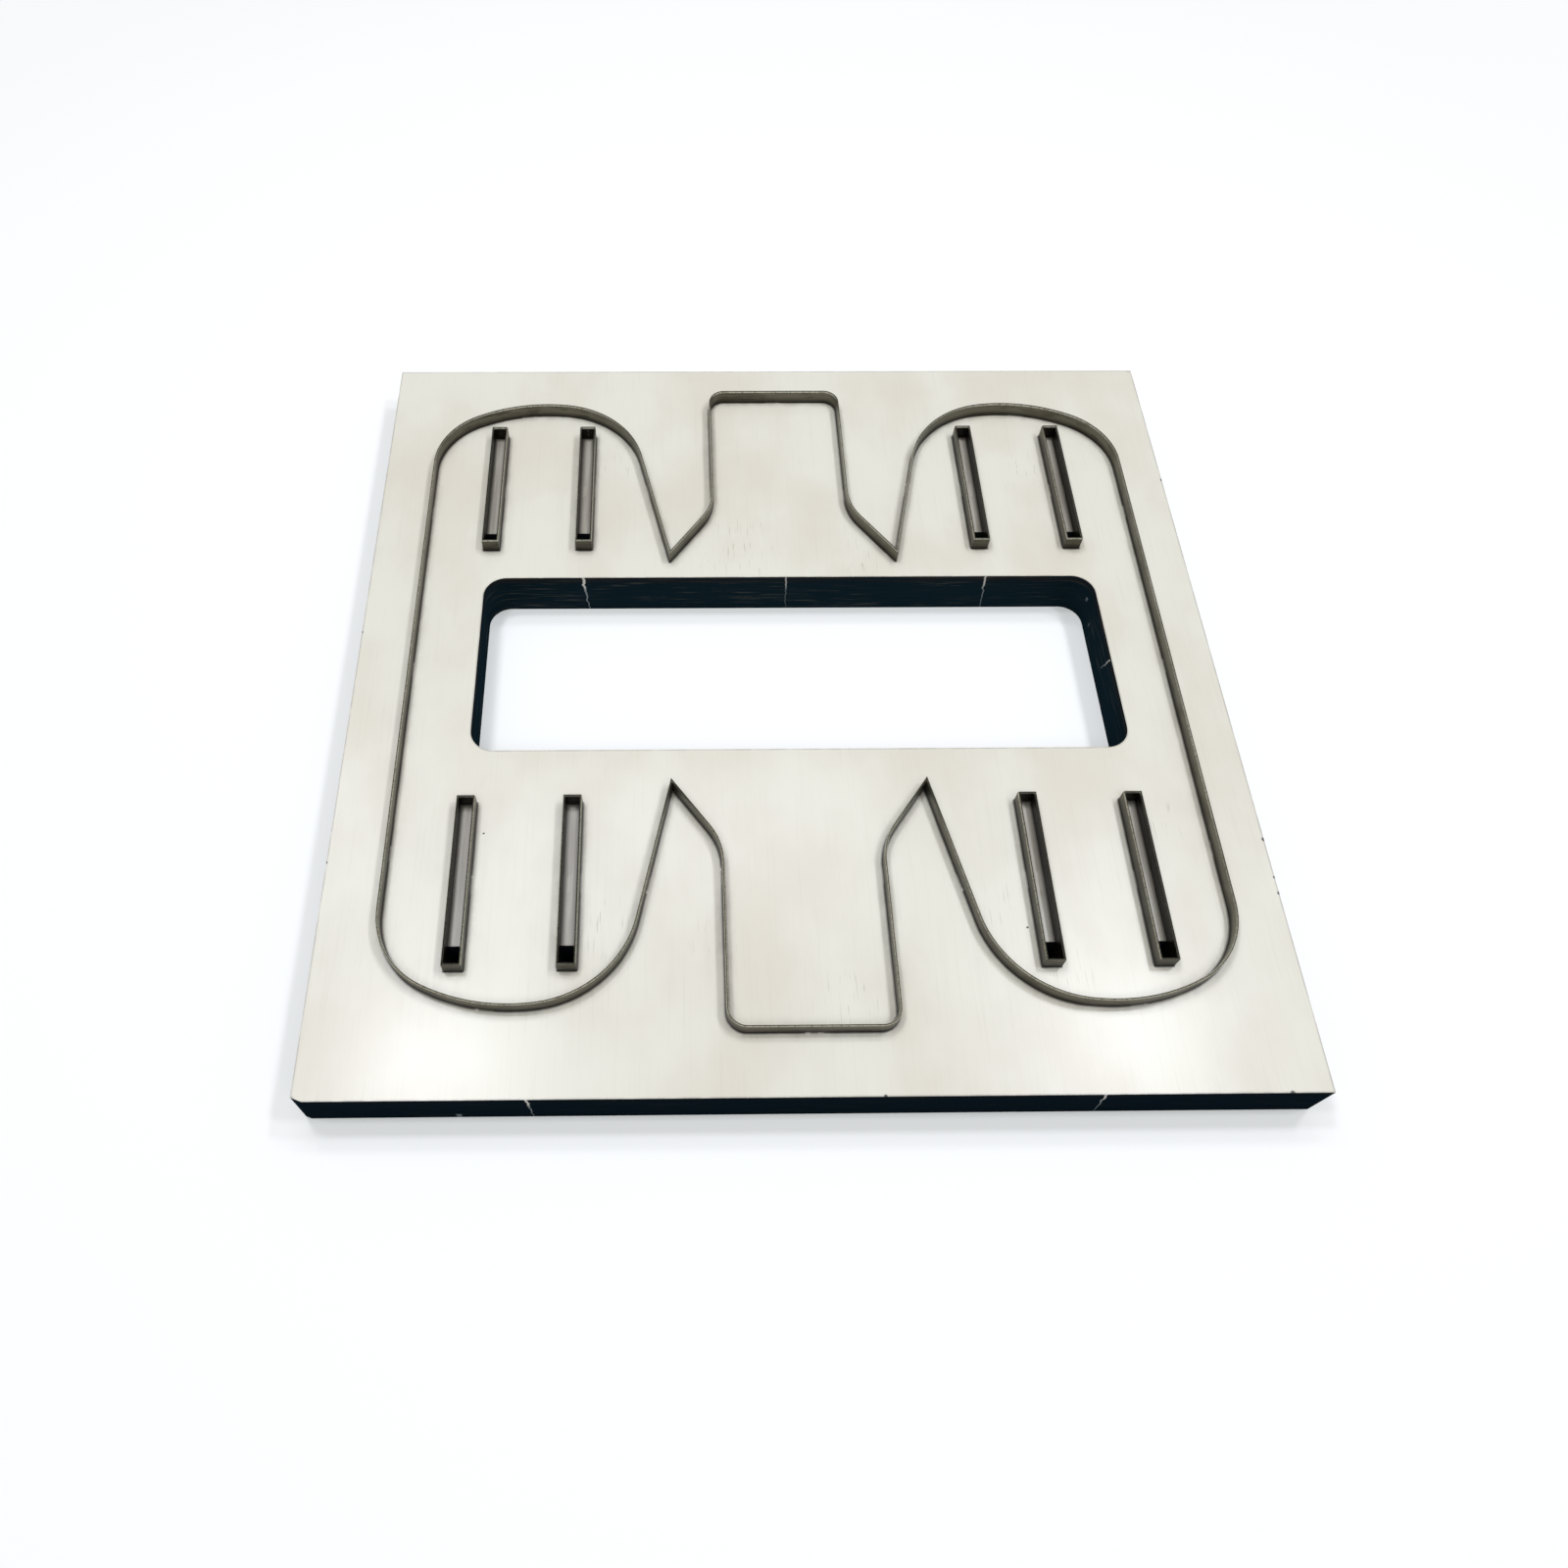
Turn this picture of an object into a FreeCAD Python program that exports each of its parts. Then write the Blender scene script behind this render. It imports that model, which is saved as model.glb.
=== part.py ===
import FreeCAD, Part
import math
import os

from FreeCAD import Placement, Rotation, Vector

# Leather cutting die: strips of steel rule, bent to the outline of the leather blank,
# stand on edge in narrow kerfs cut through a plywood board. Millimetres, Z up.
# The origin is the middle of the board's underside, on the plane that the die stands on.

# Plywood board
board_width = 300.0
board_depth = 300.0
board_thickness = 18.0

# Window sawn right through the board
window_width = 222.5
window_depth = 74.0
window_corner_radius = 8.0
window_middle_x = 3.0
window_middle_y = 4.3

# Steel rule: a flat strip with a cutting bevel ground on both sides of its upper edge
rule_height = 23.8
rule_thickness = 0.71
bevel_height = 0.75
edge_flat = 0.06

# Kerfs and the bridges of uncut wood that hold the board together across them
kerf_clearance = 0.04
bridge_length = 6.0
notch_end_clearance = 0.3
notch_top_clearance = 0.15
longest_bridge_spacing = 75.0

# Middle of the outline on the board. The outline mirrors about this point both ways
outline_middle_x = 1.0
outline_middle_y = 0.8

# Lobe: flank, inner shoulder, crown, outer shoulder and straight side, each tangent to the next
outline_half_width = 131.7
lobe_inner_reach = 51.7
lobe_top = 124.1
crown_middle = 89.7
crown_radius = 60.0
inner_shoulder_radius = 34.6
outer_shoulder_radius = 27.3

# Notch between lobe and tab, where two strips meet in a sharp mitre
vee_x = 41.6
vee_y = 48.2
mitre_gap = 0.04
mitre_reach = 4.0

# Tab at each end of the outline
tab_half_width = 25.5
tab_end = 131.3
tab_corner_radius = 5.8
tab_shoulder = 70.7
tab_shoulder_radius = 22.0

# Slot punches: long narrow rectangles, one strip each, broached on the inside of each corner
# so that it folds sharp there, and closed by a butt joint at the far end
slot_length = 58.3
slot_width = 6.1
slot_edge_radius = 0.03
slot_butt_gap = 0.06
outer_slot_x = 107.8
inner_slot_x = 73.5
slot_middle_y = 82.7
slot_bridges = 2

# Clearing hole through the board at the near end inside each slot punch
clearing_hole_length = 7.5

# Cuts run past the faces that they open by this much
overcut = 1.0

bevel_foot = rule_height - bevel_height
bevel_width = (rule_thickness - edge_flat) / 2

along_x = Vector(1, 0, 0)
along_y = Vector(0, 1, 0)
up = Vector(0, 0, 1)


def unit(vector):
    return vector * (1.0 / vector.Length)


def arc_middle(centre, start, end):
    """Point half way round the short arc between two points of a circle."""
    radius = (start - centre).Length
    return centre + unit((start - centre) + (end - centre)) * radius


def tangent_point(point, centre, radius):
    """Where a line from the point touches the circle, on the circle's left as seen from the point."""
    to_centre = centre - point
    angle = math.atan2(to_centre.y, to_centre.x) + math.asin(radius / to_centre.Length)
    reach = math.sqrt(to_centre.Length ** 2 - radius ** 2)
    return point + Vector(math.cos(angle), math.sin(angle), 0) * reach


def seated_centre(outer_centre, outer_radius, radius, x):
    """Centre, at x, of a circle that touches a larger circle from inside, above its middle."""
    reach = outer_radius - radius
    sideways = x - outer_centre.x
    return Vector(x, outer_centre.y + math.sqrt(reach ** 2 - sideways ** 2), 0)


# A bent line is a list of steps: each step is its start, the middle of its arc or None, and its end.

def bent_line(corners, radii):
    """Straight runs through the corners, with a tangent bend of the given radius at each one."""
    steps = []
    start = corners[0]
    for index in range(1, len(corners) - 1):
        corner = corners[index]
        back = unit(corners[index - 1] - corner)
        ahead = unit(corners[index + 1] - corner)
        half_turn = (math.pi - back.getAngle(ahead)) / 2
        setback = radii[index - 1] * math.tan(half_turn)
        bend_start = corner + back * setback
        bend_end = corner + ahead * setback
        centre_reach = radii[index - 1] / math.cos(half_turn)
        centre = corner + unit(back + ahead) * centre_reach
        steps.append((start, None, bend_start))
        steps.append((bend_start, arc_middle(centre, bend_start, bend_end), bend_end))
        start = bend_end
    steps.append((start, None, corners[-1]))
    return steps


def mirrored(point, across_x, across_y):
    return Vector(point.x * across_x, point.y * across_y, point.z)


def mirrored_steps(steps, across_x, across_y):
    return [
        tuple(point and mirrored(point, across_x, across_y) for point in step)
        for step in steps
    ]


def reversed_steps(steps):
    return [(end, middle, start) for start, middle, end in reversed(steps)]


def mirrored_shape(shape, across):
    return shape.mirror(Vector(0, 0, 0), across)


def path_edges(steps):
    edges = []
    for start, middle, end in steps:
        if middle is None:
            edges.append(Part.LineSegment(start, end).toShape())
        else:
            edges.append(Part.Arc(start, middle, end).toShape())
    return edges


def section_face(corners):
    """Section across a strip: x is sideways from its middle line, z is up."""
    points = [Vector(x, 0, z) for x, z in corners]
    return Part.Face(Part.makePolygon(points + points[:1]))


def rule_section():
    side = rule_thickness / 2
    tip = edge_flat / 2
    return section_face([
        (-side, 0), (side, 0), (side, bevel_foot),
        (tip, rule_height), (-tip, rule_height), (-side, bevel_foot),
    ])


def kerf_section():
    side = rule_thickness / 2 + kerf_clearance
    top = board_thickness + overcut
    return section_face([(-side, -overcut), (side, -overcut), (side, top), (-side, top)])


def heading_placement(point, heading):
    """Stands something drawn across the Y axis at a point, facing along the heading."""
    turn = math.degrees(math.atan2(heading.y, heading.x)) - 90.0
    return Placement(point, Rotation(up, turn))


def swept(section, edges):
    """The section carried along lines and arcs: extruded on a line, revolved on an arc."""
    runs = []
    for edge in edges:
        heading = edge.tangentAt(edge.FirstParameter)
        face = section.copy()
        face.Placement = heading_placement(edge.valueAt(edge.FirstParameter), heading)
        if edge.Curve.TypeId == "Part::GeomCircle":
            turn = math.degrees(edge.LastParameter - edge.FirstParameter)
            runs.append(face.revolve(edge.Curve.Center, edge.Curve.Axis, turn))
        else:
            runs.append(face.extrude(heading * edge.Length))
    return runs[0].multiFuse(runs[1:]).removeSplitter()


def station(edges, distance):
    """Point and heading at a distance along the path."""
    for edge in edges:
        if distance <= edge.Length:
            parameter = edge.getParameterByLength(distance)
            return edge.valueAt(parameter), edge.tangentAt(parameter)
        distance -= edge.Length
    raise ValueError("the path ends before this distance")


def bridge_blocks(edges, count, length, top):
    """Blocks across the path where the board is left uncut, evenly spaced."""
    path_length = sum(edge.Length for edge in edges)
    width = rule_thickness + 2 * kerf_clearance + 2 * overcut
    corner = Vector(-width / 2, -length / 2, -2 * overcut)
    blocks = []
    for index in range(count):
        point, heading = station(edges, path_length * (index + 0.5) / count)
        block = Part.makeBox(width, length, top + 2 * overcut, corner)
        block.Placement = heading_placement(point, heading)
        blocks.append(block)
    return blocks


def mitre_blocks(side, start):
    """Blocks that trim strips at the four notches, from just off the mitre plane outwards.

    The plane halves the angle between flank and chamfer. Side 1 trims what lies towards the
    tab and side -1 what lies towards the lobe.
    """
    vee = Vector(vee_x, vee_y, 0)
    flank = unit(lobe_shoulder()[0][2] - vee)
    chamfer = unit(Vector(tab_half_width, tab_shoulder, 0) - vee)
    inward = unit(flank + chamfer)
    trimmed = Vector(-inward.y, inward.x, 0) * side
    height = rule_height + 2 * overcut
    block = Part.makeBox(mitre_reach, 2 * mitre_reach, height, Vector(start, -mitre_reach, -overcut))
    turn = math.degrees(math.atan2(trimmed.y, trimmed.x))
    block.Placement = Placement(vee, Rotation(up, turn))
    right = [block, mirrored_shape(block, along_y)]
    return right + [mirrored_shape(one, along_x) for one in right]


def lobe_shoulder():
    """Flank and three arcs of one quarter of the outline, from the notch to the straight side."""
    vee = Vector(vee_x, vee_y, 0)
    crown = Vector(crown_middle, lobe_top - crown_radius, 0)
    inner_x = lobe_inner_reach + inner_shoulder_radius
    outer_x = outline_half_width - outer_shoulder_radius
    inner = seated_centre(crown, crown_radius, inner_shoulder_radius, inner_x)
    outer = seated_centre(crown, crown_radius, outer_shoulder_radius, outer_x)
    flank_end = tangent_point(vee, inner, inner_shoulder_radius)
    crown_start = crown + unit(inner - crown) * crown_radius
    crown_end = crown + unit(outer - crown) * crown_radius
    side_start = Vector(outline_half_width, outer.y, 0)
    return [
        (vee, None, flank_end),
        (flank_end, arc_middle(inner, flank_end, crown_start), crown_start),
        (crown_start, arc_middle(crown, crown_start, crown_end), crown_end),
        (crown_end, arc_middle(outer, crown_end, side_start), side_start),
    ]


def right_lobe_steps():
    upper = lobe_shoulder()
    lower = reversed_steps(mirrored_steps(upper, 1, -1))
    side = (upper[-1][2], None, lower[0][0])
    return upper + [side] + lower


def top_tab_steps():
    half = [
        Vector(vee_x, vee_y, 0),
        Vector(tab_half_width, tab_shoulder, 0),
        Vector(tab_half_width, tab_end, 0),
    ]
    corners = half + [mirrored(point, -1, 1) for point in reversed(half)]
    radii = [tab_shoulder_radius, tab_corner_radius, tab_corner_radius, tab_shoulder_radius]
    return bent_line(corners, radii)


def run_on(steps, reach):
    """The same line with both straight ends run on by the reach."""
    first_start, _, first_end = steps[0]
    last_start, _, last_end = steps[-1]
    first = (first_start + unit(first_start - first_end) * reach, None, first_end)
    last = (last_start, None, last_end + unit(last_end - last_start) * reach)
    return [first] + steps[1:-1] + [last]


def crossings(middle_line, count):
    """Notches for a strip of rule, and the bridges across its kerf that they clear."""
    notch_length = bridge_length + 2 * notch_end_clearance
    notches = bridge_blocks(middle_line, count, notch_length, board_thickness + notch_top_clearance)
    bridges = bridge_blocks(middle_line, count, bridge_length, board_thickness + 2 * overcut)
    return notches, bridges


def outline_strip(steps, side):
    """A strip of the outline and its kerf, mitred at both ends."""
    middle_line = path_edges(steps)
    path_length = sum(edge.Length for edge in middle_line)
    count = math.ceil(path_length / longest_bridge_spacing)
    notches, bridges = crossings(middle_line, count)
    long_line = path_edges(run_on(steps, mitre_reach / 2))
    rule = swept(rule_section(), long_line).cut(notches + mitre_blocks(side, -mitre_gap / 2))
    kerf = swept(kerf_section(), long_line).cut(bridges + mitre_blocks(side, 0))
    return rule.removeSplitter(), kerf


def slot_corners(inset, height):
    """Corners of a level loop set in from a slot punch's outer walls, from mid far end to mid far end."""
    x = slot_width / 2 - inset
    y = slot_length / 2 - inset
    return [
        Vector(0, y, height), Vector(-x, y, height), Vector(-x, -y, height),
        Vector(x, -y, height), Vector(x, y, height), Vector(0, y, height),
    ]


def rounded_slot_loop(inset, radius, height):
    return Part.Wire(path_edges(bent_line(slot_corners(inset, height), [radius] * 4)))


def slot_prism(inset, bottom, top):
    outline = Part.Face(Part.makePolygon(slot_corners(inset, bottom)))
    return outline.extrude(up * (top - bottom))


def slot_rule(notches):
    """Rounded outside and sharp inside at each corner, with both bevels, open at the butt joint."""
    wall_radius = slot_edge_radius + bevel_width
    outside = Part.makeLoft([
        rounded_slot_loop(0, wall_radius, 0),
        rounded_slot_loop(0, wall_radius, bevel_foot),
        rounded_slot_loop(bevel_width, slot_edge_radius, rule_height),
    ], True, True)
    inside = Part.makeLoft([
        Part.makePolygon(slot_corners(rule_thickness, -overcut)),
        Part.makePolygon(slot_corners(rule_thickness, bevel_foot)),
        Part.makePolygon(slot_corners(rule_thickness - bevel_width, rule_height)),
    ], True, True)
    through_wall = rule_thickness + 2 * overcut
    joint_corner = Vector(-slot_butt_gap / 2, slot_length / 2 + overcut - through_wall, -overcut)
    joint = Part.makeBox(slot_butt_gap, through_wall, rule_height + 2 * overcut, joint_corner)
    return outside.cut([inside, joint] + notches).removeSplitter()


def slot_strip():
    """A slot punch and its kerf."""
    middle_line = Part.makePolygon(slot_corners(rule_thickness / 2, 0)).Edges
    notches, bridges = crossings(middle_line, slot_bridges)
    core = slot_prism(rule_thickness + kerf_clearance, -2 * overcut, board_thickness + 2 * overcut)
    kerf = slot_prism(-kerf_clearance, -overcut, board_thickness + overcut).cut([core] + bridges)
    return slot_rule(notches), kerf


def clearing_hole():
    """Square-ended hole through the board, between the walls of a slot punch at its near end."""
    inner_width = slot_width - 2 * rule_thickness
    corner = Vector(-inner_width / 2, rule_thickness - slot_length / 2, -overcut)
    return Part.makeBox(inner_width, clearing_hole_length, board_thickness + 2 * overcut, corner)


def window_cut():
    corner = Vector(window_middle_x - window_width / 2, window_middle_y - window_depth / 2, -overcut)
    block = Part.makeBox(window_width, window_depth, board_thickness + 2 * overcut, corner)
    upright = [edge for edge in block.Edges if abs(edge.tangentAt(edge.FirstParameter).z) > 0.99]
    return block.makeFillet(window_corner_radius, upright)


def die_board(cuts):
    corner = Vector(-board_width / 2, -board_depth / 2, 0)
    blank = Part.makeBox(board_width, board_depth, board_thickness, corner)
    return blank.cut(cuts)


def outline_strips():
    """Rule and kerf of each strip of the outline, by name."""
    right_lobe = outline_strip(right_lobe_steps(), 1)
    top_tab = outline_strip(top_tab_steps(), -1)
    return {
        "right_lobe_rule": right_lobe,
        "left_lobe_rule": [mirrored_shape(shape, along_x) for shape in right_lobe],
        "top_tab_rule": top_tab,
        "bottom_tab_rule": [mirrored_shape(shape, along_y) for shape in top_tab],
    }


def slot_punches():
    """Rule, kerf and clearing hole of each slot punch: two in each of the four lobe ends."""
    punch = slot_strip() + (clearing_hole(),)
    punches = {}
    for row, across_y in (("top", 1), ("bottom", -1)):
        for side, across_x in (("left", -1), ("right", 1)):
            for rank, reach in (("outer", outer_slot_x), ("inner", inner_slot_x)):
                place = Vector(across_x * reach, across_y * slot_middle_y, 0)
                name = f"{row}_{side}_{rank}_slot_punch"
                punches[name] = [shape.translated(place) for shape in punch]
    return punches


def build():
    outline_middle = Vector(outline_middle_x, outline_middle_y, 0)
    nodes = {}
    cuts = [window_cut()]
    for name, (rule, *openings) in {**outline_strips(), **slot_punches()}.items():
        nodes[name] = rule.translated(outline_middle)
        cuts += [opening.translated(outline_middle) for opening in openings]
    nodes["die_board"] = die_board(cuts)
    return nodes


os.makedirs("parts", exist_ok=True)
for name, shape in build().items():
    shape.exportStep(f"parts/{name}.step")
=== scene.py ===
import math

import bmesh
import bpy
from mathutils import Matrix, Vector
from mathutils.bvhtree import BVHTree


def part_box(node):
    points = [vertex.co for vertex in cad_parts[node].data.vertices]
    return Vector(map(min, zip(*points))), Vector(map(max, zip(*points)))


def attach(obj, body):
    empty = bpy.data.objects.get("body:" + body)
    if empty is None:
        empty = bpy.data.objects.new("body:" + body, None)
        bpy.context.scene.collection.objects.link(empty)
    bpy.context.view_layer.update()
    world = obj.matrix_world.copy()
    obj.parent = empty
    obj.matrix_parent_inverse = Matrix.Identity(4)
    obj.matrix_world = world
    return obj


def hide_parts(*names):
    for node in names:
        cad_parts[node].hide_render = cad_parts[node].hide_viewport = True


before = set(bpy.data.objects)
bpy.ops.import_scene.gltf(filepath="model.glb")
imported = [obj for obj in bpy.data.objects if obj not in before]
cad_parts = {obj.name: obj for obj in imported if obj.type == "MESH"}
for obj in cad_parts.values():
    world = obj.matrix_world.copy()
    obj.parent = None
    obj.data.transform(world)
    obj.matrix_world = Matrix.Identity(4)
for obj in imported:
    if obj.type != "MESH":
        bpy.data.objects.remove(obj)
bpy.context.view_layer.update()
mm = 0.001
print("frame loaded with", len(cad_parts), "nodes")

ruleNames = sorted(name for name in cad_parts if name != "die_board")
boardLow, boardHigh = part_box("die_board")
boardTop = boardHigh.z / mm
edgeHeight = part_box(ruleNames[0])[1].z / mm


# Nodes and colours

def linear(hexColour):
    # sRGB hex to the linear RGBA that a socket takes
    parts = [int(hexColour[i:i + 2], 16) / 255 for i in (1, 3, 5)]
    return [p / 12.92 if p <= 0.04045 else ((p + 0.055) / 1.055) ** 2.4 for p in parts] + [1.0]


def addNode(tree, kind, inputs=(), **settings):
    # inputs go by name, or in the order that the node shows them; a node among them is linked
    node = tree.nodes.new(kind)
    for name, value in settings.items():
        setattr(node, name, value)
    shown = [socket for socket in node.inputs if socket.enabled]
    for key, value in inputs.items() if isinstance(inputs, dict) else enumerate(inputs):
        socket = shown[key] if isinstance(key, int) else node.inputs[key]
        if isinstance(value, bpy.types.Node):
            value = next(output for output in value.outputs if output.enabled)
        if isinstance(value, bpy.types.NodeSocket):
            tree.links.new(value, socket)
        else:
            socket.default_value = value
    return node


def startMaterial(name, spec):
    # the place on the object in mm, and what the dictionary lists: noise patterns by their size in mm,
    # attributes of the mesh, and masks that stretch one of these between two of its values
    material = bpy.data.materials.new(name)
    material.use_nodes = True
    tree = material.node_tree
    tree.nodes.clear()
    coords = addNode(tree, "ShaderNodeTexCoord").outputs["Object"]
    place = addNode(tree, "ShaderNodeVectorMath", [coords, [1 / mm] * 3], operation="MULTIPLY")
    split = addNode(tree, "ShaderNodeSeparateXYZ", [place])
    made = {"place": place, "x": split.outputs[0], "y": split.outputs[1], "height": split.outputs[2]}
    for pattern, (size, detail, roughness) in spec["patterns"].items():
        stretched = addNode(tree, "ShaderNodeMapping", {"Vector": place, "Scale": [1 / s for s in size]})
        made[pattern] = addNode(tree, "ShaderNodeTexNoise", {
            "Vector": stretched, "Scale": 1.0, "Detail": detail, "Roughness": roughness,
        })
    for attribute in spec.get("attributes", []):
        made[attribute] = addNode(tree, "ShaderNodeAttribute", attribute_name=attribute).outputs["Fac"]
    for mask, (source, *stretch) in spec["masks"].items():
        made[mask] = addNode(
            tree, "ShaderNodeMapRange", [made[source], *stretch], interpolation_type="SMOOTHSTEP")
    return material, tree, made


def finishMaterial(tree, spec, links):
    shader = addNode(tree, "ShaderNodeBsdfPrincipled", {**spec["surface"], **links})
    addNode(tree, "ShaderNodeOutputMaterial", {"Surface": shader})


def layPaint(tree, colour, layers):
    # each layer's colour goes over the ones before it, as strongly as all of its masks let it
    for paint, *masks in layers:
        cover = masks[0]
        for mask in masks[1:]:
            cover = addNode(tree, "ShaderNodeMath", [cover, mask], operation="MULTIPLY")
        colour = addNode(tree, "ShaderNodeMix", [cover, colour, linear(paint)], data_type="RGBA")
    return colour


def spotMask(tree, place, spots, start, end):
    # 1 inside any of the round spots, fading out between start and end of its reach
    mask = 0.0
    flat = addNode(tree, "ShaderNodeVectorMath", [place, (1, 1, 0)], operation="MULTIPLY")
    for x, y, reach in spots:
        away = addNode(tree, "ShaderNodeVectorMath", [flat, (x, y, 0)], operation="DISTANCE")
        inside = addNode(
            tree, "ShaderNodeMapRange", [away, reach * start, reach * end, 1.0, 0.0],
            interpolation_type="SMOOTHSTEP")
        mask = addNode(tree, "ShaderNodeMath", [mask, inside], operation="MAXIMUM")
    return mask


# Board faces: rotary-cut poplar veneer, sanded and wiped with a thin sealer. Pale and nearly without
# figure, with a soft sheen that shows the lamps as clouds, fine streaks and a few short open pores
veneer = {
    "surface": {"Specular IOR Level": 0.3, "Coat Weight": 0.52, "Coat Roughness": 0.22},
    "patterns": {                 # mm across, along and through the grain, then detail and roughness
        "clouds": ((38.0, 60.0, 1.0), 4.0, 0.5),
        "streaks": ((0.9, 45.0, 1.0), 4.0, 0.6),
        "pores": ((0.45, 10.0, 1.0), 1.0, 0.5),      # real pores are 0.1 mm across, too fine to show
        "wear": ((6.0, 12.0, 1.0), 4.0, 0.6),
        "slotMottle": ((1.6, 30.0, 1.0), 3.0, 0.5),
    },
    "attributes": ["ruleDistance", "cutDistance", "slotDepth"],
    "masks": {                    # what it reads, between which values, and what it gives there
        "tanClouds": ("clouds", 0.38, 0.66, 0.0, 1.0),
        "greyStreaks": ("streaks", 0.5, 0.8, 0.0, 0.2),
        "openPores": ("pores", 0.63, 0.73, 0.0, 0.5),
        # laser smoke and painted shade beside the rules, fading out over 4 mm
        "smokeAndShadeNearRule": ("ruleDistance", 0.0, 4.0, 0.3, 0.0),
        "kerfEdge": ("ruleDistance", 0.0, 0.8, 0.8, 0.0),
        "haloPatches": ("wear", 0.35, 0.68, 0.15, 1.0),
        "nearCut": ("cutDistance", 0.0, 0.7, 0.45, 0.0),
        "scorchPatches": ("wear", 0.3, 0.6, 0.3, 1.0),
        # laser smoke and painted shade over the slot floors, in streaky patches
        "slotPatches": ("slotMottle", 0.35, 0.65, 0.5, 0.95),
        "slotFloor": ("slotDepth", -0.4, 0.0, 0.0, 1.0),
        # painted shade along the walls of a slot punch, darkest at their foot
        "slotWallShade": ("slotDepth", 0.0, 1.9, 0.85, 0.0),
        "topFace": ("height", boardTop - 0.5, boardTop - 0.1, 0.0, 1.0),
        "dullness": ("streaks", 0.3, 0.7, 0.4, 0.5),
    },
    "cream": "#eae8d9",
    "tan": "#e1dccc",
    "streak": "#cbc6b5",
    "pore": "#8f8977",
    # laser smoke and painted shade beside the rules
    "sootAndShade": "#7d7564",
    "char": "#3a3530",
    "slotSmokeAndShade": "#a9a294",       # grey inside the slot punches: laser smoke and painted shade of the narrow slot
    "slotShadeColour": "#423c33",        # and painted shade along their walls, darkest at the foot
    "bruises": [                  # mm: middle and reach of the patches where the pores stand open
        (-60, -98, 16), (-28, -100, 12), (61, -93, 14), (78, -112, 12), (-16, 55, 22), (30, 52, 14),
        (98, 92, 16), (-62, 100, 14), (12, -120, 14), (118, -60, 12),
    ],
    "bruiseFade": (0.1, 1.0),     # from and to which part of its reach a patch fades
    "nicks": [                    # mm: small dark chips, middle and radius
        (150.0, 88.7, 0.8), (150.0, -68.0, 1.0), (150.0, -81.5, 0.7), (150.0, -87.0, 0.8),
        (-150.0, -74.0, 0.6), (-150.0, 17.0, 0.6), (20.3, -149.9, 0.7), (137.6, -150.0, 0.9),
        (-101.0, -64.0, 0.45), (69.0, -98.0, 0.5),
    ],
    "nickFade": (0.5, 1.0),
    "poreDepth": -0.6,            # against the height of the streaks
    "bump": (0.2, 0.03),          # strength, and mm
}


def makeVeneer():
    material, tree, made = startMaterial("sealedPoplarVeneer", veneer)
    bruised = spotMask(tree, made["place"], veneer["bruises"], *veneer["bruiseFade"])
    nicked = spotMask(tree, made["place"], veneer["nicks"], *veneer["nickFade"])
    pores = addNode(tree, "ShaderNodeMath", [made["openPores"], bruised], operation="MULTIPLY")
    colour = layPaint(tree, linear(veneer["cream"]), [
        (veneer["tan"], made["tanClouds"]),
        (veneer["streak"], made["greyStreaks"]),
        (veneer["pore"], pores),
        # laser smoke and painted shade beside the rules, in patches
        (veneer["sootAndShade"], made["smokeAndShadeNearRule"], made["haloPatches"]),
        (veneer["char"], made["nearCut"], made["scorchPatches"]),
        (veneer["char"], made["kerfEdge"]),
        (veneer["char"], nicked, made["topFace"]),
        # laser smoke and painted shade on the slot floors
        (veneer["slotSmokeAndShade"], made["slotFloor"], made["slotPatches"]),
        # painted shade along the slot walls
        (veneer["slotShadeColour"], made["slotFloor"], made["slotWallShade"]),
    ])
    height = addNode(
        tree, "ShaderNodeMath", [pores, veneer["poreDepth"], made["streaks"]], operation="MULTIPLY_ADD")
    strength, depth = veneer["bump"]
    bump = addNode(tree, "ShaderNodeBump", {"Height": height, "Strength": strength, "Distance": depth * mm})
    finishMaterial(tree, veneer, {
        "Base Color": colour, "Roughness": made["dullness"], "Normal": bump, "Coat Normal": bump,
    })
    return material


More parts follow.
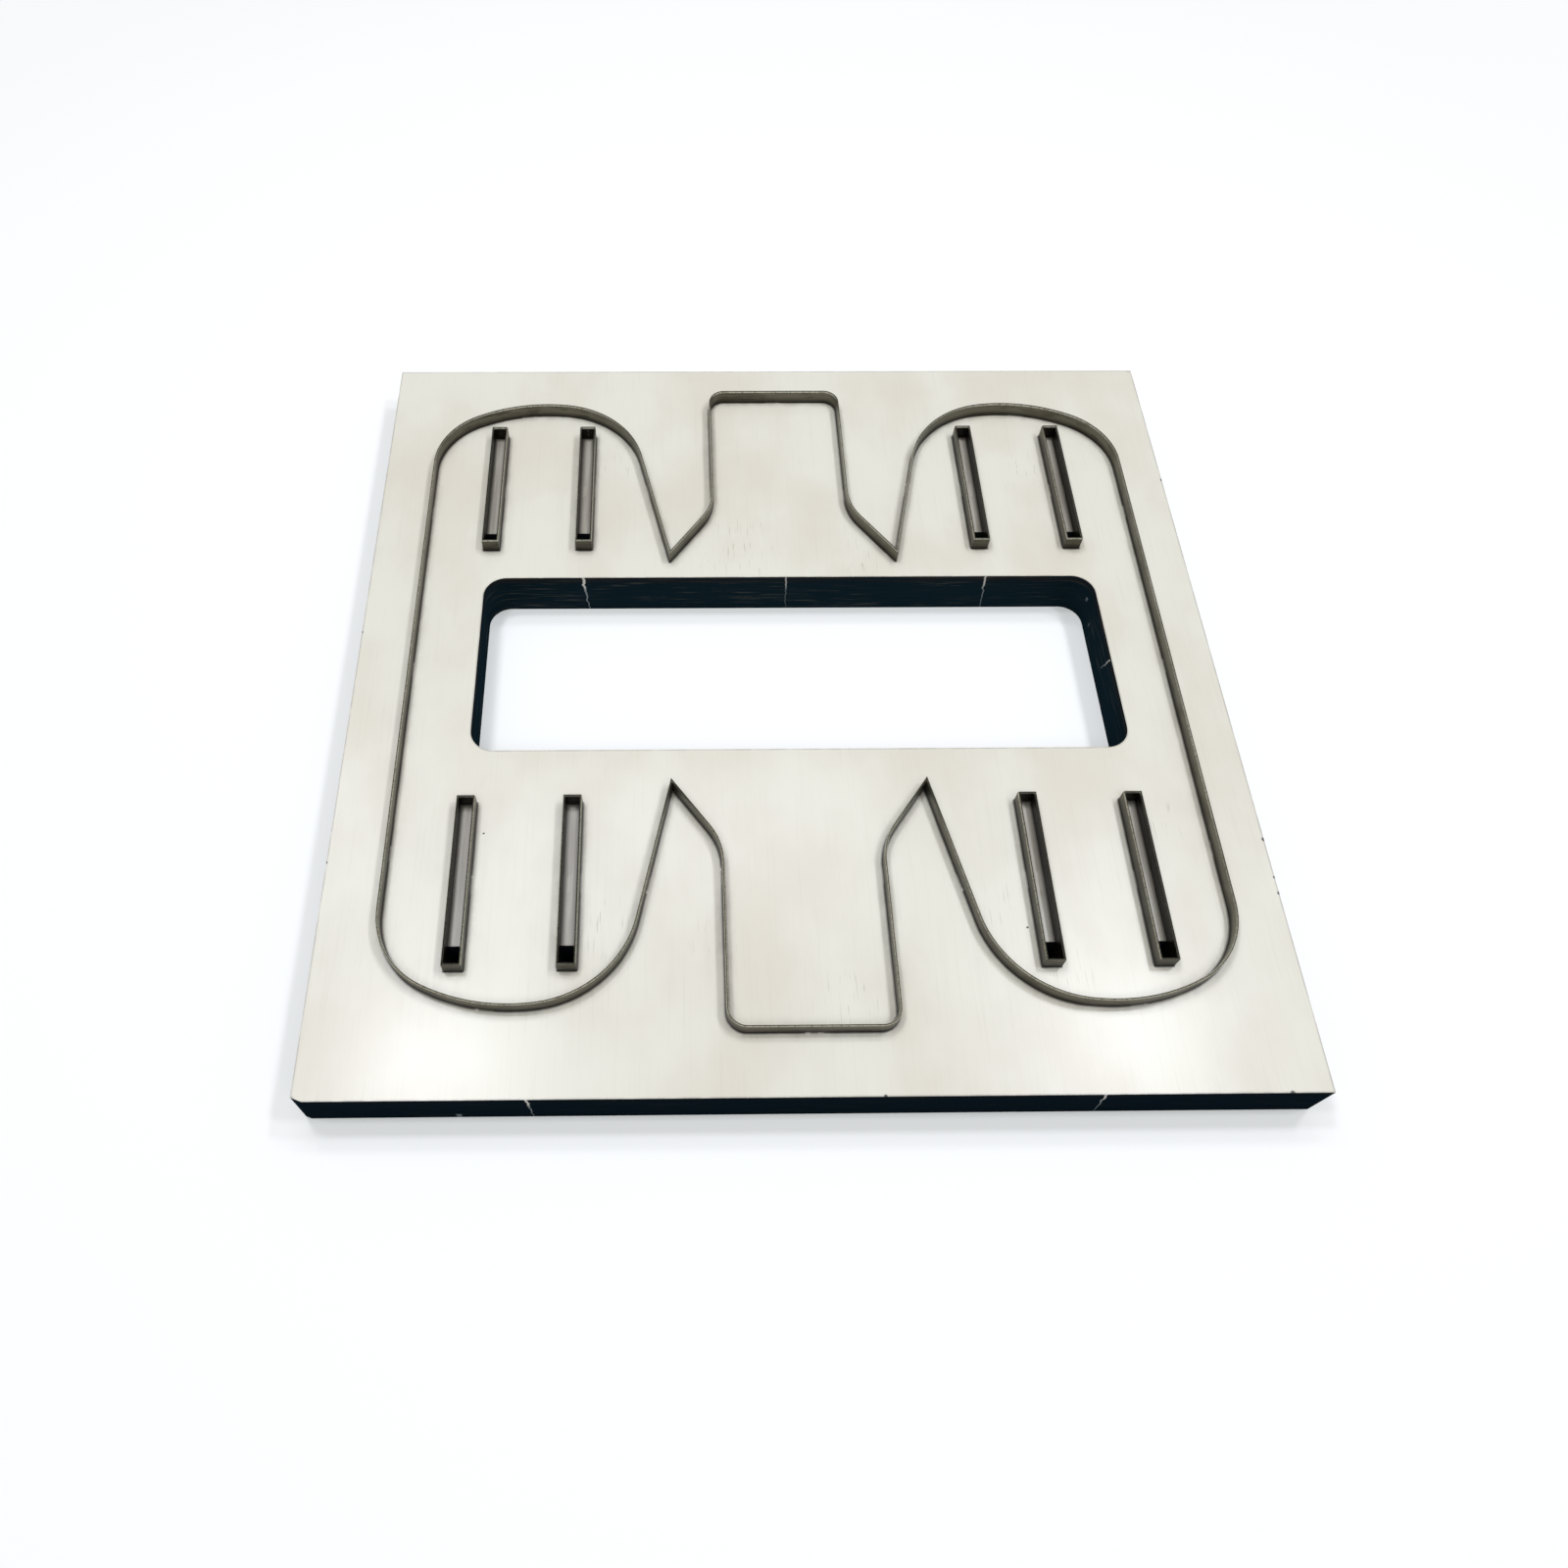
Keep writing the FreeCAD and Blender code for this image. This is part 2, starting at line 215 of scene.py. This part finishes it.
# Sawn edges: plywood charred by the laser that cut it. Blue-black with a faint gloss, browner in the top
# plies, scored along the plies, and bare wood where an uncut tab was snapped
charred = {
    "surface": {"Specular IOR Level": 0.0},
    "patterns": {
        "scores": ((16.0, 16.0, 0.5), 4.0, 0.6),
        "patches": ((30.0, 30.0, 5.0), 2.0, 0.5),
        "crumbs": ((0.8, 0.8, 0.6), 2.0, 0.5),
        "jag": ((40.0, 40.0, 2.6), 3.0, 0.6),
    },
    "masks": {
        "greyScores": ("scores", 0.54, 0.7, 0.0, 1.0),
        "greyPatches": ("patches", 0.38, 0.6, 0.1, 0.9),
        "topPlies": ("height", boardTop - 4.0, boardTop - 1.5, 0.0, 0.5),
        "brownScores": ("scores", 0.35, 0.6, 0.0, 1.0),
        "freshWood": ("height", 10.0, 14.0, 0.0, 1.0),
        "taper": ("height", 0.0, boardTop, 0.45, 1.5),
        # painted shade: the front wall is darker than the other cut walls
        "frontEdgeShade": ("y", -149.6, -149.0, 0.75, 0.0),
        "dullness": ("scores", 0.3, 0.7, 0.38, 0.62),
    },
    "black": "#15272f",
    # painted shade for the front wall
    "frontShadeBlack": "#0e1a22",
    "grey": "#50514d",
    "brown": "#3a2c24",
    "bareWood": "#f2efe6",
    "oldWood": "#8d979b",
    "plyPitch": 1.4,              # mm
    "jagWidth": 2.4,              # mm that a split wanders across its line
    "wallDepth": 0.5,             # mm from a wall within which its scars show
    "scars": [                    # the axis across the wall and where on it the wall is; then how far along
        # the wall the scar is at the top, its lean, width, lowest and highest point, and strength
        ("y", 41.3, -72.7, -0.09, 0.65, -9.0, 27.0, 1.0),
        ("y", 41.3, 1.8, -0.06, 0.4, -9.0, 27.0, 0.5),
        ("y", 41.3, 75.1, -0.1, 0.45, -9.0, 27.0, 0.8),
        ("x", 114.25, 3.6, -0.33, 0.4, 8.0, 17.0, 0.6),
        ("x", 114.25, 28.0, 0.0, 1.0, 5.0, 7.0, 0.4),
        ("x", 113.6, 36.5, 0.0, 0.8, 9.6, 11.4, 0.5),
        ("y", -150.0, -82.9, -0.05, 0.5, -9.0, 27.0, 0.9),
        ("y", -150.0, 84.0, -0.07, 0.45, -9.0, 27.0, 0.8),
        ("y", -150.0, -104.2, 0.0, 3.2, -3.4, 3.4, 0.7),
    ],
    "scarFade": (0.3, 0.7),       # from and to which part of its width a scar fades
    "crumbRelief": 0.5,           # against the height of the scores
    "plyRelief": 0.2,
    "bump": (0.4, 0.15),
}


def scarMask(tree, made, scar):
    # a leaning, jagged line on one wall that narrows downwards, between two heights
    axis, wall, top, lean, width, low, high, strength = scar
    along = made["x" if axis == "y" else "y"]
    start = top - lean * boardTop - charred["jagWidth"] / 2
    straight = addNode(tree, "ShaderNodeMath", [made["height"], lean, start], operation="MULTIPLY_ADD")
    line = addNode(
        tree, "ShaderNodeMath", [made["jag"], charred["jagWidth"], straight], operation="MULTIPLY_ADD")
    offLine = addNode(tree, "ShaderNodeMath", [along, line], operation="SUBTRACT")
    fromLine = addNode(tree, "ShaderNodeMath", [offLine], operation="ABSOLUTE")
    tapered = addNode(tree, "ShaderNodeMath", [fromLine, made["taper"]], operation="DIVIDE")
    fromMiddle = addNode(
        tree, "ShaderNodeMath", [made["height"], (low + high) / 2, (high - low) / 2], operation="COMPARE")
    onWall = addNode(
        tree, "ShaderNodeMath", [made[axis], wall, charred["wallDepth"]], operation="COMPARE")
    inner, outer = charred["scarFade"]
    band = addNode(
        tree, "ShaderNodeMapRange", [tapered, width * inner, width * outer, strength, 0.0],
        interpolation_type="SMOOTHSTEP")
    return band, fromMiddle, onWall


def makeCharred():
    material, tree, made = startMaterial("laserCharredPly", charred)
    wood = layPaint(tree, linear(charred["oldWood"]), [(charred["bareWood"], made["freshWood"])])
    colour = layPaint(tree, linear(charred["black"]), [
        (charred["grey"], made["greyScores"], made["greyPatches"]),
        (charred["brown"], made["topPlies"], made["brownScores"]),
        # painted shade on the front wall
        (charred["frontShadeBlack"], made["frontEdgeShade"]),
    ])
    for scar in charred["scars"]:
        band, fromMiddle, onWall = scarMask(tree, made, scar)
        here = addNode(tree, "ShaderNodeMath", [fromMiddle, onWall], operation="MULTIPLY")
        cover = addNode(tree, "ShaderNodeMath", [band, here], operation="MULTIPLY")
        colour = addNode(tree, "ShaderNodeMix", [cover, colour, wood], data_type="RGBA")
    plies = addNode(tree, "ShaderNodeMath", [made["height"], charred["plyPitch"]], operation="PINGPONG")
    rough = addNode(
        tree, "ShaderNodeMath", [made["crumbs"], charred["crumbRelief"], made["scores"]],
        operation="MULTIPLY_ADD")
    relief = addNode(tree, "ShaderNodeMath", [plies, charred["plyRelief"], rough], operation="MULTIPLY_ADD")
    strength, depth = charred["bump"]
    bump = addNode(tree, "ShaderNodeBump", {"Height": relief, "Strength": strength, "Distance": depth * mm})
    finishMaterial(tree, charred, {"Base Color": colour, "Roughness": made["dullness"], "Normal": bump})
    return material


# Rule bodies: cold-rolled strip, hardened and tempered. Dark brown-grey with a dull gloss, rolled streaks
# that run along the strip with painted reflection streaks among them, and soot and painted shade at its foot
strip = {
    "surface": {"Metallic": 0.85},
    "patterns": {
        "rolled": ((25.0, 25.0, 0.5), 4.0, 0.65),
        "blotches": ((9.0, 9.0, 3.0), 3.0, 0.5),
    },
    "masks": {
        # pale rolled lines along the strip, partly painted reflection streaks
        "paleLinesAndReflections": ("rolled", 0.35, 0.75, 0.0, 0.7),
        "paleAreas": ("blotches", 0.45, 0.65, 0.4, 0.0),
        "rustSpots": ("blotches", 0.5, 0.7, 0.0, 0.35),
        # soot and painted contact shade at the foot of the strip
        "footSootAndShade": ("height", boardTop, boardTop + 3.2, 0.8, 0.0),
        "dullness": ("rolled", 0.3, 0.7, 0.3, 0.5),
    },
    "dark": "#46443a",
    "pale": "#7f7b6d",
    "rust": "#564f41",
    # soot and painted shade on the strips
    "sootAndShade": "#1d1b15",
    "slotOutside": 0.42,           # how much of a slot punch's outside the laser's smoke covers
    # inside a slot punch: soot and painted shade of the narrow slot
    "slotInside": 0.95,
    "bump": (0.3, 0.04),
}


def makeStrip(name, sootAndShade):
    material, tree, made = startMaterial(name, strip)
    colour = layPaint(tree, linear(strip["dark"]), [
        # rolled lines and painted reflection streaks
        (strip["pale"], made["paleLinesAndReflections"]),
        (strip["pale"], made["paleAreas"]),
        (strip["rust"], made["rustSpots"]),
        # soot and painted shade at the foot
        (strip["sootAndShade"], made["footSootAndShade"]),
        (strip["sootAndShade"], sootAndShade),
    ])
    strength, depth = strip["bump"]
    bump = addNode(
        tree, "ShaderNodeBump", {"Height": made["rolled"], "Strength": strength, "Distance": depth * mm})
    finishMaterial(tree, strip, {"Base Color": colour, "Roughness": made["dullness"], "Normal": bump})
    return material


# Cutting bevels: ground on both sides of the edge, brighter, with the tip darkened by hardening
ground = {
    "surface": {"Metallic": 0.9},
    "patterns": {
        "grinding": ((0.6, 0.6, 4.0), 2.0, 0.5),   # lines run up the bevel, ten times their real width
    },
    "masks": {
        "wornLines": ("grinding", 0.4, 0.7, 0.0, 1.0),
        "tip": ("height", edgeHeight - 0.32, edgeHeight - 0.12, 0.0, 1.0),
        "dullness": ("grinding", 0.3, 0.7, 0.28, 0.42),
    },
    "steel": "#b4b2a5",
    "worn": "#84826f",
    "tip": "#2c2b26",
}


def makeGround():
    material, tree, made = startMaterial("groundBevel", ground)
    colour = layPaint(tree, linear(ground["steel"]), [
        (ground["worn"], made["wornLines"]),
        (ground["tip"], made["tip"]),
    ])
    finishMaterial(tree, ground, {"Base Color": colour, "Roughness": made["dullness"]})
    return material


materials = {
    "veneer": makeVeneer(),
    "charred": makeCharred(),
    "strip": makeStrip("temperedRuleStrip", 0.0),
    "slotOutside": makeStrip("smokedRuleStrip", strip["slotOutside"]),
    # inner walls of the slot punches: soot and painted shade
    "slotInside": makeStrip("sootedAndShadedRuleStrip", strip["slotInside"]),
    "ground": makeGround(),
}
print("materials made:", ", ".join(sorted(materials)))


# Pieces

shaping = {
    "weldDistance": 0.0005,   # mm, under the shortest chord of a folded corner
    "flatAngle": 0.5,         # degrees, faces that meet flatter than this are one
    "sharpAngle": 20.0,       # degrees, over a bend's facets and under the bevel's slope
    "bevelSlope": 0.1,        # a bevel's normal points up by more than this, and
    "bevelAbove": 1.0,        # mm, it is this far above the board at least
}


def weldedCopy(nodeName):
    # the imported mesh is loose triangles, so a copy is merged and its flat faces joined
    bm = bmesh.new()
    bm.from_mesh(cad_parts[nodeName].data)
    bmesh.ops.remove_doubles(bm, verts=bm.verts[:], dist=shaping["weldDistance"] * mm)
    bmesh.ops.dissolve_limit(
        bm, angle_limit=math.radians(shaping["flatAngle"]), verts=bm.verts[:], edges=bm.edges[:],
        use_dissolve_boundaries=False, delimit={"NORMAL"})
    return bm


def markSharpEdges(bm):
    sharp = math.radians(shaping["sharpAngle"])
    for face in bm.faces:
        face.smooth = True
    for edge in bm.edges:
        edge.smooth = edge.calc_face_angle(math.pi) < sharp


def finishPiece(bm, name, nodeName, materialNames):
    mesh = bpy.data.meshes.new(name)
    bm.to_mesh(mesh)
    bm.free()
    for materialName in materialNames:
        mesh.materials.append(materials[materialName])
    piece = bpy.data.objects.new(name, mesh)
    bpy.context.scene.collection.objects.link(piece)
    piece.modifiers.new("evenShading", "WEIGHTED_NORMAL").keep_sharp = True
    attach(piece, "root")
    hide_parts(nodeName)
    return piece


# Rules: each strip and slot punch, with its bevel faces in ground steel

def makeRule(nodeName):
    bm = weldedCopy(nodeName)
    low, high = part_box(nodeName)
    middle = (low + high) / 2
    isSlot = nodeName.endswith("slot_punch")
    for face in bm.faces:
        centre = face.calc_center_median()
        outward = Vector((centre.x - middle.x, centre.y - middle.y, 0))
        isRaised = centre.z > boardHigh.z + shaping["bevelAbove"] * mm
        if isRaised and face.normal.z > shaping["bevelSlope"]:
            face.material_index = 1
        elif isSlot and outward.dot(face.normal) < 0:
            face.material_index = 2
    markSharpEdges(bm)
    outside = "slotOutside" if isSlot else "strip"
    return finishPiece(bm, nodeName + "_steel", nodeName, [outside, "ground", "slotInside"])


for ruleName in ruleNames:
    makeRule(ruleName)
print("rules dressed:", len(ruleNames))


# Board: veneer on both faces, char on every cut wall

board = {
    "cell": 2.0,              # mm, the top is cut this small so that it can carry the distances
    "flat": 0.99,             # a face whose normal is this upright is veneer
    "furthest": 20.0,         # mm, distances are measured no further than this
    "bridgeReach": 2.0,       # mm from a rule within which the cells of a bridge are cut finer
    "bridgeMargin": 0.1,      # mm by which a bridge is nearer to its rule than to any wall
    "bridgeCuts": 3,
    "ruleThickness": 0.71,
    "chip": [(-150, -148.7, 18), (-146.6, -150, 18), (-148.3, -150, 0)],   # mm, the knocked near left corner
    "cellTolerance": 0.001,   # mm
    "chipTolerance": 0.0001,
    "topTolerance": 0.01,
}


def surfaceTree(meshes):
    # one search tree over several meshes
    corners, faces = [], []
    for mesh in meshes:
        first = len(corners)
        corners += [v.co.copy() for v in mesh.vertices]
        faces += [[first + i for i in p.vertices] for p in mesh.polygons]
    return BVHTree.FromPolygons(corners, faces)


def cutIntoCells(bm, cell):
    for axis in (0, 1):
        normal = Vector((1 - axis, axis, 0))
        steps = round((boardHigh[axis] - boardLow[axis]) / cell)
        for step in range(1, steps):
            flat = [f for f in bm.faces if f.normal.z > board["flat"]]
            edges = {e for f in flat for e in f.edges}
            corners = {v for f in flat for v in f.verts}
            point = boardLow + normal * (cell * step)
            bmesh.ops.bisect_plane(
                bm, geom=flat + list(edges) + list(corners), dist=board["cellTolerance"] * mm,
                plane_co=point, plane_no=normal)


def refineBridges(bm, ruleTree, wallTree):
    # where a rule crosses a bridge no kerf gives the face corners beside it, so its cells are cut finer
    beside = []
    for face in bm.faces:
        middle = face.calc_center_median()
        toRule = ruleTree.find_nearest(middle, board["bridgeReach"] * mm)[3]
        if face.normal.z > board["flat"] and toRule is not None:
            if wallTree.find_nearest(middle)[3] > toRule + board["bridgeMargin"] * mm:
                beside.append(face)
    edges = {e for f in beside for e in f.edges}
    bmesh.ops.subdivide_edges(bm, edges=list(edges), cuts=board["bridgeCuts"], use_grid_fill=True)


def breakCorner(bm):
    # a plane through the three points of the chip takes the corner off, and the gap is closed
    a, b, c = (Vector(point) * mm for point in board["chip"])
    outward = (b - a).cross(c - a).normalized()
    if outward.dot(a) < 0:
        outward.negate()
    everything = bm.verts[:] + bm.edges[:] + bm.faces[:]
    cut = bmesh.ops.bisect_plane(
        bm, geom=everything, dist=board["chipTolerance"] * mm, plane_co=a, plane_no=outward,
        clear_outer=True)
    rim = [e for e in cut["geom_cut"] if isinstance(e, bmesh.types.BMEdge)]
    filled = bmesh.ops.edgeloop_fill(bm, edges=rim, mat_nr=1)
    bmesh.ops.recalc_face_normals(bm, faces=filled["faces"])


def storeValues(mesh, name, measure, elsewhere):
    # one number for each vertex of the top face, and another for all the rest
    lowest = boardHigh.z - board["topTolerance"] * mm
    values = [measure(vertex.co) if vertex.co.z > lowest else elsewhere for vertex in mesh.vertices]
    mesh.attributes.new(name, "FLOAT", "POINT").data.foreach_set("value", values)


def storeDistance(mesh, name, tree):
    # millimetres to the nearest wall in the tree
    def measure(point):
        distance = tree.find_nearest(point, board["furthest"] * mm)[3]
        return board["furthest"] if distance is None else distance / mm

    storeValues(mesh, name, measure, board["furthest"])


def makeBoard():
    bm = weldedCopy("die_board")
    for face in bm.faces:
        face.material_index = 0 if abs(face.normal.z) > board["flat"] else 1
    walls = bmesh.new()
    walls.from_mesh(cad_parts["die_board"].data)
    flat = [f for f in walls.faces if abs(f.normal.z) > board["flat"]]
    bmesh.ops.delete(walls, geom=flat, context="FACES")
    wallTree = BVHTree.FromBMesh(walls)
    walls.free()
    ruleTree = surfaceTree([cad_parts[name].data for name in ruleNames])
    cutIntoCells(bm, board["cell"] * mm)
    refineBridges(bm, ruleTree, wallTree)
    breakCorner(bm)
    markSharpEdges(bm)
    piece = finishPiece(bm, "die_board_plywood", "die_board", ["veneer", "charred"])
    slots = [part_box(name) for name in ruleNames if name.endswith("slot_punch")]

    def slotDepth(point):
        # mm inward from the inner walls of the slot punch around the point, and below 0 outside them
        depths = [
            min(point.x - low.x, high.x - point.x, point.y - low.y, high.y - point.y)
            for low, high in slots]
        return max(max(depths) / mm - board["ruleThickness"], -board["furthest"])

    storeValues(piece.data, "slotDepth", slotDepth, -board["furthest"])
    storeDistance(piece.data, "ruleDistance", ruleTree)
    storeDistance(piece.data, "cutDistance", wallTree)
    return piece


dieBoard = makeBoard()
print("board dressed:", len(dieBoard.data.polygons), "faces")


# Floor: white paper that takes a faint shadow

studio = {
    "floorSize": 8.0,             # m
    "floorCells": 4,
    "floorGap": 0.05,             # mm under the board
    "floor": "#e9e8e6",
    "glow": "#f3fafa",
    "floorGlow": 0.3,
    "whiteFrom": 0.5,             # m from the middle, where the paper starts to lose itself in white
    "whiteBy": 1.6,
    "sky": "#fff8ee",
    "skyStrength": 0.19,
    "lampColour": "#f3f6ff",
    "lamps": [                    # the share is how much of a white page's light comes from the lamp
        {"name": "rightPanel", "place": (0.55, 0.25, 1.2), "size": (0.13, 0.14), "share": 0.112},
        {"name": "rightStrip", "place": (0.53, 0.44, 1.2), "size": (0.08, 0.22), "share": 0.033},
        {"name": "rightSide", "place": (0.6, -0.1, 1.2), "size": (0.15, 0.15), "share": 0.148},
        {"name": "leftPanel", "place": (-0.36, 0.22, 1.2), "size": (0.14, 0.13), "share": 0.154},
        {"name": "leftStrip", "place": (-0.50, 0.58, 1.2), "size": (0.08, 0.28), "share": 0.037},
        {"name": "leftSide", "place": (-0.45, -0.1, 1.2), "size": (0.15, 0.15), "share": 0.122},
        {"name": "middleStrip", "place": (-0.24, 0.48, 1.2), "size": (0.1, 0.25), "share": 0.037},
        {"name": "backStrip", "place": (0.06, 0.54, 1.2), "size": (0.36, 0.14), "share": 0.07},
        {"name": "frontBox", "place": (0.0, -0.75, 1.0), "size": (0.9, 0.4), "share": 0.117},
    ],
}


def seenDirectly(tree):
    # 1 for rays from the camera, and for those that a mirror or glass sends on
    rays = addNode(tree, "ShaderNodeLightPath").outputs
    seen = rays["Is Camera Ray"]
    for ray in ("Is Glossy Ray", "Is Transmission Ray"):
        seen = addNode(tree, "ShaderNodeMath", [seen, rays[ray]], operation="MAXIMUM")
    return seen


def makeFloor():
    bm = bmesh.new()
    cells = studio["floorCells"]
    bmesh.ops.create_grid(bm, x_segments=cells, y_segments=cells, size=studio["floorSize"] / 2)
    bmesh.ops.translate(bm, verts=bm.verts, vec=(0, 0, boardLow.z - studio["floorGap"] * mm))
    mesh = bpy.data.meshes.new("studioFloor")
    bm.to_mesh(mesh)
    bm.free()
    material = bpy.data.materials.new("whitePaper")
    material.use_nodes = True
    tree = material.node_tree
    tree.nodes.clear()
    seen = seenDirectly(tree)
    place = addNode(tree, "ShaderNodeTexCoord").outputs["Object"]
    away = addNode(tree, "ShaderNodeVectorMath", [place], operation="LENGTH")
    rise = addNode(
        tree, "ShaderNodeMapRange", [away, studio["whiteFrom"], studio["whiteBy"], studio["floorGlow"], 1.0],
        interpolation_type="SMOOTHSTEP")
    strength = addNode(tree, "ShaderNodeMath", [seen, rise], operation="MULTIPLY")
    paper = addNode(tree, "ShaderNodeBsdfDiffuse", {"Color": linear(studio["floor"])})
    glow = addNode(tree, "ShaderNodeEmission", {"Color": linear(studio["glow"]), "Strength": strength})
    both = addNode(tree, "ShaderNodeAddShader", [paper, glow])
    addNode(tree, "ShaderNodeOutputMaterial", {"Surface": both})
    mesh.materials.append(material)
    floor = bpy.data.objects.new("studioFloor", mesh)
    bpy.context.scene.collection.objects.link(floor)


def makeLights():
    world = bpy.data.worlds.new("softTent")
    bpy.context.scene.world = world
    world.use_nodes = True
    tree = world.node_tree
    tree.nodes.clear()
    seen = seenDirectly(tree)
    light = addNode(
        tree, "ShaderNodeBackground", {"Color": linear(studio["sky"]), "Strength": studio["skyStrength"]})
    white = addNode(tree, "ShaderNodeBackground", {"Color": (1, 1, 1, 1), "Strength": 1.0})
    sky = addNode(tree, "ShaderNodeMixShader", [seen, light, white])
    addNode(tree, "ShaderNodeOutputWorld", {"Surface": sky})
    for spec in studio["lamps"]:
        # the boxes look straight down, so their light on the board falls by the cosine twice
        lamp = bpy.data.lights.new(spec["name"], "AREA")
        lamp.shape = "RECTANGLE"
        lamp.size, lamp.size_y = spec["size"]
        place = Vector(spec["place"])
        lamp.energy = spec["share"] * math.pi ** 2 * place.length ** 4 / place.z ** 2
        lamp.color = linear(studio["lampColour"])[:3]
        holder = bpy.data.objects.new(spec["name"], lamp)
        holder.location = place
        bpy.context.scene.collection.objects.link(holder)


makeFloor()
makeLights()
print("floor and lights set")


# Camera: above the near edge, a little left of the middle, looking steeply down

shot = {
    "place": (-40.31, -244.29, 359.68),   # mm
    "down": 59.876,                       # degrees below level
    "turn": 1.300,                        # degrees to the right of +Y
    "roll": 0.771,
    "frame": 36,                          # mm wide
    "lens": 27.54,                        # mm
    "shiftRight": 0.0625,                 # of the frame's width
}


def makeCamera():
    camera = bpy.data.cameras.new("benchCamera")
    camera.sensor_width = shot["frame"]
    camera.lens = shot["lens"]
    camera.shift_x = shot["shiftRight"]
    holder = bpy.data.objects.new("benchCamera", camera)
    turn = Matrix.Rotation(math.radians(-shot["turn"]), 4, "Z")
    tilt = Matrix.Rotation(math.radians(90 - shot["down"]), 4, "X")
    roll = Matrix.Rotation(math.radians(shot["roll"]), 4, "Z")
    holder.matrix_world = Matrix.Translation(Vector(shot["place"]) * mm) @ turn @ tilt @ roll
    bpy.context.scene.collection.objects.link(holder)
    bpy.context.scene.camera = holder


makeCamera()
bpy.context.scene.view_settings.view_transform = "Standard"
print("camera set")
